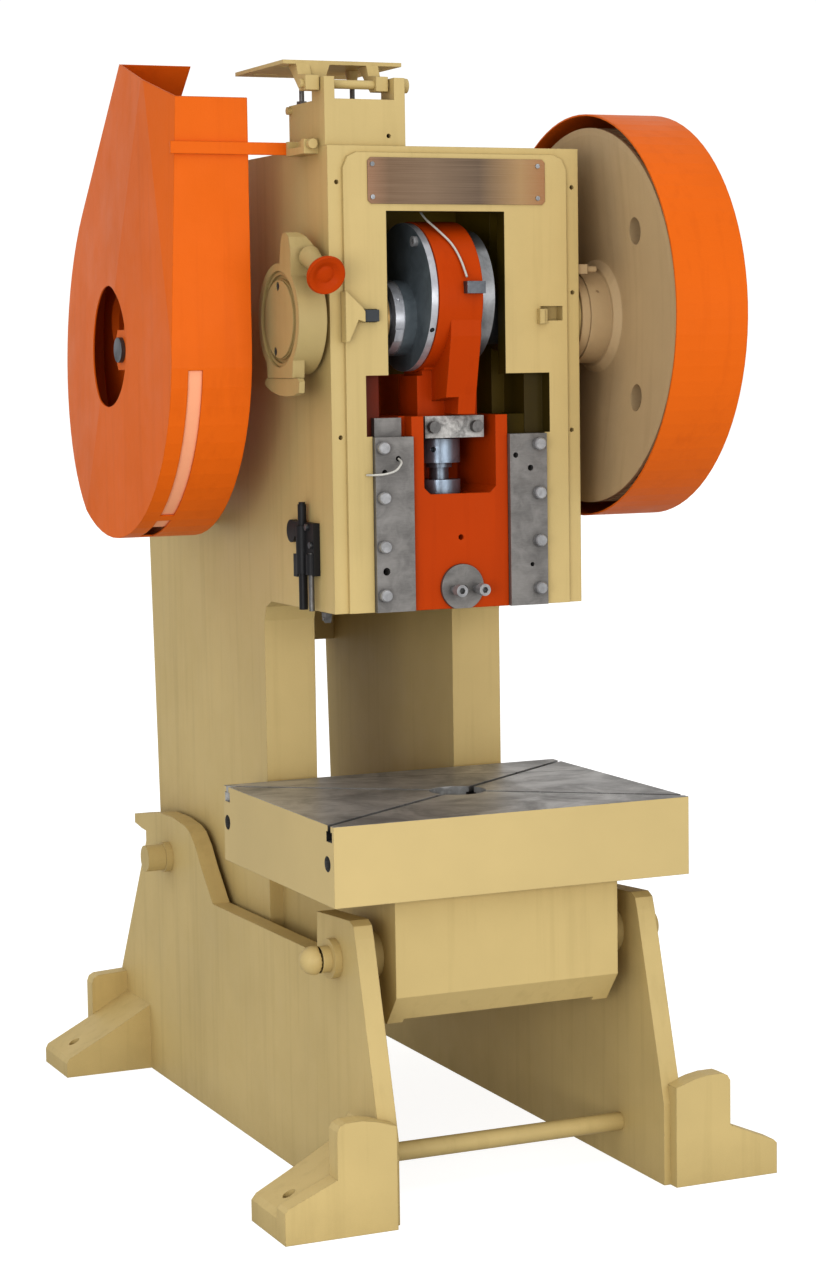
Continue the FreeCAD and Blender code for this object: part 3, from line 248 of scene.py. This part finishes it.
# painted light: the guards, strap and flywheel get a lighter copy of the slide's orange, for their brightly lit sides
M["orange_guard_lit"] = paint("orange_guard_lit", LIT_ORANGE, 0.36, 0.07, dirt_and_shade_col=(0.42, 0.16, 0.06), wave=0.9, seed=2.0, chip=0.45, spec=0.10,
                          chip_col=(0.33, 0.12, 0.07), streak=0.2)
M["orange_deep"] = paint("orange_deep", DEEP, 0.38, 0.08, dirt_and_shade_col=(0.35, 0.10, 0.04), wave=0.25, seed=4.0, chip=0.35,
                         chip_col=(0.20, 0.12, 0.10), spec=0.08)
# painted shade: the slide's wings are painted dark olive and dark red where they stand above the guide plates, as in
# shade
M["slide_paint"] = paint("slide_paint", DEEP, 0.38, 0.08, dirt_and_shade_col=(0.35, 0.10, 0.04), wave=0.25, seed=4.0, chip=0.35,
                         chip_col=(0.20, 0.12, 0.10), spec=0.08,
                         zones=[((0.0968, -0.5000, 1.3600), (0.2000, -0.1000, 1.4200), SHADE_OLIVE),
                                ((-0.2000, -0.5000, 1.3600), (-0.1090, -0.1000, 1.4200), SHADE_RED)])
M["stop_blocks"] = paint("stop_blocks", scale3(CREAM, 0.95), 0.45, 0.08, wave=0.2, seed=41.0, round_r=0.0012,
                         zones=[((-1.0, -1.0, 0.0), (0.0, 1.0, 3.0), (0.060, 0.066, 0.072))])
M["gear_beige"] = paint("gear_beige", (0.56, 0.42, 0.245), 0.50, 0.10, dirt_and_shade_col=(0.30, 0.18, 0.09), wave=0.4, seed=6.0, chip=0.5)
# painted shade: the brake band, drum, end plate and anchor get a darker copy of the cream, as they sit in shade
M["shaded_cream_band"] = paint("shaded_cream_band", scale3(CREAM, 0.80), 0.48, 0.12, wave=0.5, seed=9.0, chip=0.55)


def steel(name, col, rough=0.38, metal=0.85, mottle=0.35, scale=22.0, brush=None, dirt_and_shade_col=(0.08, 0.075, 0.07), corner_shade_amt=0.6,
          seed=0.0, round_r=0.0008, tint=None):
    """Machined or worn bare metal."""
    q = Mat(name)
    a = q.noise(scale, 5, 0.65, 0.6, w=seed)
    b = q.noise(scale * 0.28, 3, 0.6, w=seed + 2)
    k = q.math("ADD", q.math("MULTIPLY", a, 0.6), q.math("MULTIPLY", b, 0.4))
    base = q.mix(q.span(k, 0.34, 0.66, smooth=True), scale3(col, 1 - mottle), scale3(col, 1 + mottle))
    if tint:
        base = q.mix(q.span(b, 0.35, 0.7), base, q.mix(1.0, base, tint, "MULTIPLY"))
    line = q.noise(1.0, 3, 0.6, stretch=brush or (900, 60, 60), w=seed + 4)
    base = q.mix(q.math("MULTIPLY", q.span(line, 0.4, 0.7), 0.16), base, scale3(col, 1.7))
    # painted shade: the steel turns darker in corners and crevices, driven by ambient occlusion
    occ = q.occlusion(0.03)
    base = q.mix(q.math("MULTIPLY", q.span(occ, 0.3, 0.95, 1.0, 0.0), corner_shade_amt), base, dirt_and_shade_col)
    edge = q.edges(0.0016)
    base = q.mix(q.math("MULTIPLY", edge, 0.45), base, scale3(col, 1.9))
    h = q.math("ADD", q.math("MULTIPLY", line, 0.25), q.math("MULTIPLY", a, 0.5))
    nrm = q.bump(h, 0.35, 0.0006, q.bevel(round_r))
    ro = q.span(k, 0.3, 0.7, rough + 0.12, rough - 0.05)
    return q.finish(base, ro, metal, nrm, 0.5)


M["steel"] = steel("steel", (0.34, 0.35, 0.36), 0.34)
M["steel_dark"] = steel("steel_dark", (0.15, 0.16, 0.175), 0.36, 0.8, seed=3)
M["steel_blue"] = steel("steel_blue", (0.25, 0.30, 0.36), 0.30, 0.7, seed=5)
M["clamp_steel"] = steel("clamp_steel", (0.40, 0.395, 0.38), 0.5, 0.25, 0.62, 60.0, corner_shade_amt=0.8, seed=29)
M["gib_steel"] = steel("gib_steel", (0.215, 0.205, 0.195), 0.48, 0.35, 0.24, 30.0, brush=(60, 60, 400), seed=8)
M["bolt_steel"] = steel("bolt_steel", (0.17, 0.165, 0.16), 0.42, 0.7, 0.35, 60.0, seed=11)
M["bronze"] = steel("bronze", (0.45, 0.29, 0.11), 0.36, 0.9, 0.25, 30.0, seed=17)
M["hose"] = steel("hose_white", (0.55, 0.54, 0.50), 0.42, 0.0, 0.10, 120.0, dirt_and_shade_col=(0.3, 0.28, 0.22), seed=19)


def table_material():
    """Bare, scratched top face and slots; painted sides."""
    q = Mat("table_top")
    lo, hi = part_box("bolster_table")
    x, y, z = q.split(q.tc.outputs["Object"])
    side = q.math("GREATER_THAN", q.math("ABSOLUTE", x), hi.x - 0.0004)
    side = q.math("MAXIMUM", side, q.math("LESS_THAN", y, lo.y + 0.0004))
    side = q.math("MAXIMUM", side, q.math("GREATER_THAN", y, hi.y - 0.0004))
    side = q.math("MAXIMUM", side, q.math("LESS_THAN", z, lo.z + 0.0004))
    topface = q.math("GREATER_THAN", z, hi.z - 0.0004)
    side = q.math("MULTIPLY", side, q.math("SUBTRACT", 1.0, topface))
    # bare metal
    a = q.noise(7.5, 6, 0.62, 1.2)
    b = q.noise(2.6, 3, 0.6, 0.5, w=4)
    c = q.noise(60.0, 4, 0.7, w=8)
    k = q.math("ADD", q.math("MULTIPLY", a, 0.55), q.math("ADD", q.math("MULTIPLY", b, 0.35), q.math("MULTIPLY", c, 0.10)))
    metal = q.mix(q.span(k, 0.36, 0.62, smooth=True), (0.22, 0.218, 0.212), (0.52, 0.515, 0.50))
    for ang, st, lim, amt in ((0.55, (3, 160, 40), 0.66, 0.55), (-0.35, (2.2, 230, 40), 0.68, 0.5), (1.35, (4, 190, 40), 0.70, 0.45)):
        s = q.noise(1.0, 2, 0.5, 0.15, vec=q.coords(st, (0, 0, ang)))
        metal = q.mix(q.math("MULTIPLY", q.span(s, lim, lim + 0.05), amt), metal, (0.62, 0.62, 0.61))
        s2 = q.noise(1.0, 2, 0.5, 0.3, vec=q.coords((st[0] * 1.3, st[1] * 0.6, 40), (0, 0, ang + 0.4), (5, 2, 0)))
        metal = q.mix(q.math("MULTIPLY", q.span(s2, lim + 0.01, lim + 0.05), amt * 0.8), metal, (0.045, 0.045, 0.047))
    # a long dark line from the middle to the right edge
    away = q.math("ABSOLUTE", q.math("ADD", q.math("ADD", q.math("MULTIPLY", x, 0.2955), q.math("MULTIPLY", y, 0.9553)),
                                     q.span(b, 0.2, 0.8, 0.1438, 0.1558)))
    dark_line = q.math("MULTIPLY", q.span(away, 0.0015, 0.0035, 1.0, 0.0), q.span(x, -0.145, -0.130))
    metal = q.mix(q.math("MULTIPLY", dark_line, q.span(c, 0.3, 0.6, 0.35, 0.85)), metal, (0.05, 0.048, 0.045))
    # painted shade: the bare metal turns darker in the slots and corners, driven by ambient occlusion
    occ = q.occlusion(0.03)
    metal = q.mix(q.span(occ, 0.3, 0.9, 0.75, 0.0), metal, (0.045, 0.042, 0.036))
    # paint
    big = q.noise(2.3, 4, 0.55, w=30)
    col = q.mix(q.span(big, 0.3, 0.7), scale3(CREAM, 0.94), scale3(CREAM, 1.05))
    edge = q.edges(0.004)
    flake = q.math("MULTIPLY", edge, q.span(q.noise(45.0, 5, 0.7, w=2), 0.56, 0.62))
    col = q.mix(q.math("MULTIPLY", flake, 0.65), col, (0.20, 0.18, 0.15))
    base = q.mix(side, metal, col)
    h = q.math("ADD", q.math("MULTIPLY", a, 0.5), q.math("MULTIPLY", c, 0.5))
    nrm = q.bump(h, 0.35, 0.0009, q.bevel(0.0018))
    ro = q.mix(side, q.mix(q.span(k, 0.35, 0.65), (0.50,) * 3, (0.33,) * 3), (0.45,) * 3)
    met = q.math("MULTIPLY", q.math("SUBTRACT", 1.0, side), 0.45)
    return q.finish(base, ro, met, nrm, 0.45)


def nameplate_material():
    """Bare brushed plate, copper at its ends."""
    q = Mat("bare_plate")
    lo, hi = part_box("nameplate")
    x, y, z = q.split(q.tc.outputs["Object"])
    t = q.span(x, lo.x, hi.x)
    ramp = q.n("ShaderNodeValToRGB")
    q.put(ramp.inputs[0], t)
    e = ramp.color_ramp.elements
    e[0].position, e[0].color = 0.0, (0.30, 0.165, 0.095, 1)
    e[1].position, e[1].color = 1.0, (0.40, 0.20, 0.085, 1)
    for p, c in ((0.12, (0.17, 0.105, 0.060, 1)), (0.35, (0.20, 0.135, 0.085, 1)), (0.62, (0.13, 0.090, 0.060, 1)), (0.86, (0.42, 0.27, 0.125, 1))):
        n = e.new(p)
        n.color = c
    line = q.noise(1.0, 4, 0.6, stretch=(6, 10, 1500))
    base = q.mix(q.math("MULTIPLY", q.span(line, 0.35, 0.7), 0.28), ramp.outputs[0], (0.45, 0.33, 0.23))
    edge = q.edges(0.0012)
    base = q.mix(q.math("MULTIPLY", edge, 0.7), base, (0.10, 0.08, 0.07))
    nrm = q.bump(line, 0.25, 0.0004, q.bevel(0.0008))
    return q.finish(base, q.span(line, 0.3, 0.7, 0.46, 0.34), 0.35, nrm, 0.4)


def flange_material():
    """Slate face and hub, bright turned rim and set collar."""
    q = Mat("slate_flange")
    x, y, z = q.split(q.tc.outputs["Object"])
    cy, cz = 0.310 - 0.6435, 1.6125
    dy, dz = q.math("SUBTRACT", y, cy), q.math("SUBTRACT", z, cz)
    r = q.math("SQRT", q.math("ADD", q.math("MULTIPLY", dy, dy), q.math("MULTIPLY", dz, dz)))
    rim = q.math("GREATER_THAN", r, 0.1345)
    collar = q.math("LESS_THAN", x, -0.0939)
    a = q.noise(26.0, 5, 0.65, 0.6, w=2)
    slate = q.mix(q.span(a, 0.34, 0.66), (0.080, 0.098, 0.110), (0.125, 0.150, 0.165))
    bright = q.mix(q.span(a, 0.34, 0.66), (0.46, 0.47, 0.50), (0.66, 0.67, 0.70))
    k = q.math("MAXIMUM", rim, collar)
    base = q.mix(k, slate, bright)
    hole = q.math("MULTIPLY", q.math("LESS_THAN", q.math("ABSOLUTE", q.math("ADD", x, 0.064)), 0.0047),
                  q.math("MULTIPLY", q.math("LESS_THAN", r, 0.1342), q.math("GREATER_THAN", r, 0.129)))
    base = q.mix(hole, base, (0.01, 0.01, 0.01))
    nrm = q.bump(a, 0.25, 0.0005, q.bevel(0.0010))
    return q.finish(base, q.mix(k, (0.46,) * 3, (0.30,) * 3), q.math("MULTIPLY", k, 0.55), nrm, 0.35)


M["slate_flange"] = flange_material()
# painted highlight: a lighter, less metallic copy of the bolt steel, so the bolts read bright in the dark chamber
M["bolt_steel_lit"] = steel("bolt_steel_lit", (0.33, 0.33, 0.335), 0.42, 0.3, 0.25, 60.0, seed=43)
M["table"] = table_material()
M["plate"] = nameplate_material()
M["black"] = paint("black_paint", (0.020, 0.020, 0.022), 0.40, 0.2, dirt_and_shade_col=(0.4, 0.3, 0.2), wave=0.2, seed=23, chip=0.5,
                   chip_col=(0.22, 0.21, 0.20), round_r=0.0015)

FINISH = {
    "cream_cast": ["main_frame"],
    "cream_leg": ["left_leg", "right_leg"],
    "stop_blocks": ["front_stop_blocks"],
    "clamp_steel": ["pitman_clamp_plate"],
    "cream_small": ["motor_pedestal", "motor_plate", "guard_bracket", "guard_stays", "front_tie_rod", "front_pivot_rod", "rear_clamp_rod",
                    "rod_collars", "hinge_pin"],
    "shaded_cream_band": ["brake_band", "brake_drum", "drum_end_plate", "brake_anchor"],
    "orange_guard_lit": ["belt_guard", "gear_guard", "belt_guard_strap", "flywheel", "flywheel_nut"],
    "orange_deep": ["pitman", "brake_knob"],
    "slide_paint": ["ram"],
    "gear_beige": ["bull_gear", "clutch_collar", "clutch_stop_pin"],
    "table": ["bolster_table"],
    "plate": ["nameplate"],
    "steel": ["nameplate_rivets", "right_eccentric_flange"],
    "bolt_steel_lit": ["eccentric_flange_bolts", "gib_bolts", "shank_clamp_bolts"],
    "steel_blue": ["lock_nut", "ball_cap", "ball_screw"],
    "slate_flange": ["left_eccentric_flange"],
    "steel_dark": ["crankshaft", "ring_oiler_block", "pinion", "back_shaft", "drum_plate_screws", "side_screws"],
    "gib_steel": ["left_gib", "right_gib", "shank_clamp", "left_gib_wedge"],
    "bolt_steel": ["pitman_clamp_bolts", "motor_jack_screws", "crank_end_nut",
                   "trip_pins"],
    "bronze": ["crank_bushes", "back_shaft_bushes"],
    "black": ["trip_bracket", "trip_rod"],
    "hose": ["ring_oil_tube", "gib_oil_tube"],
}
done = set()
for key, names in FINISH.items():
    for n in names:
        o = NODES[n]
        for s in o.material_slots:
            s.material = M[key]
        done.add(n)
missing = sorted(set(NODES) - done)
if missing:
    raise SystemExit("nodes without a finish: %s" % missing)

# ------------------------------------------------------------ modelled details
def piece(name, verts, faces, mat, body, bevel=0.0):
    """A closed mesh from vertices and faces that rides a body."""
    me = bpy.data.meshes.new(name)
    me.from_pydata([tuple(v) for v in verts], [], faces)
    bm = bmesh.new()
    bm.from_mesh(me)
    bmesh.ops.recalc_face_normals(bm, faces=bm.faces[:])
    if bevel:
        sharp = [e for e in bm.edges if len(e.link_faces) == 2 and e.calc_face_angle(0.0) > 0.6]
        bmesh.ops.bevel(bm, geom=sharp, offset=bevel, segments=2, affect="EDGES", clamp_overlap=True)
    bm.to_mesh(me)
    bm.free()
    for f in me.polygons:
        f.use_smooth = True
    me.set_sharp_from_angle(angle=0.6)
    me.materials.append(mat)
    o = bpy.data.objects.new(name, me)
    bpy.context.scene.collection.objects.link(o)
    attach(o, body)
    return o


def arc_strip(cy, cz, r0, r1, a0, a1, x0, x1, n=40):
    """Curved strip between two radii; angles in degrees, measured from the front downwards."""
    v, f = [], []
    for k in range(n + 1):
        a = math.radians(a0 + (a1 - a0) * k / n)
        for r, x in ((r0, x0), (r0, x1), (r1, x1), (r1, x0)):
            v.append((x, cy - r * math.cos(a), cz - r * math.sin(a)))
    for k in range(n):
        i = 4 * k
        for j in range(4):
            f.append((i + j, i + (j + 1) % 4, i + 4 + (j + 1) % 4, i + 4 + j))
    f += [(0, 1, 2, 3), (4 * n, 4 * n + 1, 4 * n + 2, 4 * n + 3)]
    return v, f


SHIFT = 0.6435
GY, GZ, GR = 0.712 - SHIFT, 1.525, 0.358
# painted highlight: a pale peach strip just inside the belt guard's slot stands in for the lit rim and its reflection
# seen through the slot
M["liner"] = paint("pale_liner", (0.95, 0.46, 0.27), 0.5, 0.06, dirt_and_shade_col=(0.8, 0.35, 0.2), wave=0.2, seed=31, chip=0.1)
v, f = arc_strip(GY, GZ, GR - 0.0042, GR - 0.0052, 4.0, 70.0, -0.4745, -0.4385)
piece("slot_liner", v, f, M["liner"], "frame")

# ------------------------------------------------------------ floor and light
FLOOR_BOUNCE, SKY = 0.45, 0.78
floor = bpy.data.meshes.new("floor")
b = bmesh.new()
bmesh.ops.create_grid(b, x_segments=1, y_segments=1, size=30.0)
b.to_mesh(floor)
b.free()
floor = bpy.data.objects.new("floor", floor)
floor.location.z = -0.0005
bpy.context.scene.collection.objects.link(floor)
f = Mat("pale_floor")
em = f.n("ShaderNodeEmission")
em.inputs["Color"].default_value = (1.0, 1.0, 1.0, 1.0)
path = f.n("ShaderNodeLightPath")
f.put(em.inputs["Strength"], f.span(path.outputs["Is Camera Ray"], 0.0, 1.0, FLOOR_BOUNCE, 1.45))
f.finish((0.86, 0.86, 0.86), 0.85, 0.0, None, 0.2)
ms = f.n("ShaderNodeMixShader")
ms.inputs[0].default_value = 0.62
f.t.links.new(f.b.outputs[0], ms.inputs[1])
f.t.links.new(em.outputs[0], ms.inputs[2])
f.t.links.new(ms.outputs[0], f.out.inputs[0])
floor.data.materials.append(f.m)

world = bpy.data.worlds.new("studio")
bpy.context.scene.world = world
world.use_nodes = True
wt = world.node_tree
bg = wt.nodes["Background"]
lp = wt.nodes.new("ShaderNodeLightPath")
mr = wt.nodes.new("ShaderNodeMapRange")
mr.inputs["To Min"].default_value = SKY
mr.inputs["To Max"].default_value = 1.05
wt.links.new(lp.outputs["Is Camera Ray"], mr.inputs["Value"])
wt.links.new(mr.outputs[0], bg.inputs["Strength"])
bg.inputs["Color"].default_value = (1.0, 1.0, 1.0, 1.0)


def area(name, loc, target, size, power, color=(1, 1, 1)):
    d = bpy.data.lights.new(name, "AREA")
    d.shape = "RECTANGLE"
    d.size, d.size_y = size
    d.energy = power
    d.color = color
    o = bpy.data.objects.new(name, d)
    bpy.context.scene.collection.objects.link(o)
    o.location = loc
    o.rotation_mode = "QUATERNION"
    o.rotation_quaternion = (Vector(target) - Vector(loc)).to_track_quat("-Z", "Y")
    return o


area("key", (0.8, -7.0, 1.6), (0, 0, 1.0), (4.0, 2.6), 95)
area("fill_left", (-4.7, -5.7, 1.35), (0, 0, 1.1), (3.4, 2.4), 155)
area("top", (-0.5, -1.8, 6.5), (0, 0, 0.5), (4.0, 4.0), 24)

bpy.context.scene.view_settings.view_transform = "Standard"
bpy.context.scene.view_settings.look = "None"
bpy.context.scene.view_settings.gamma = 0.85
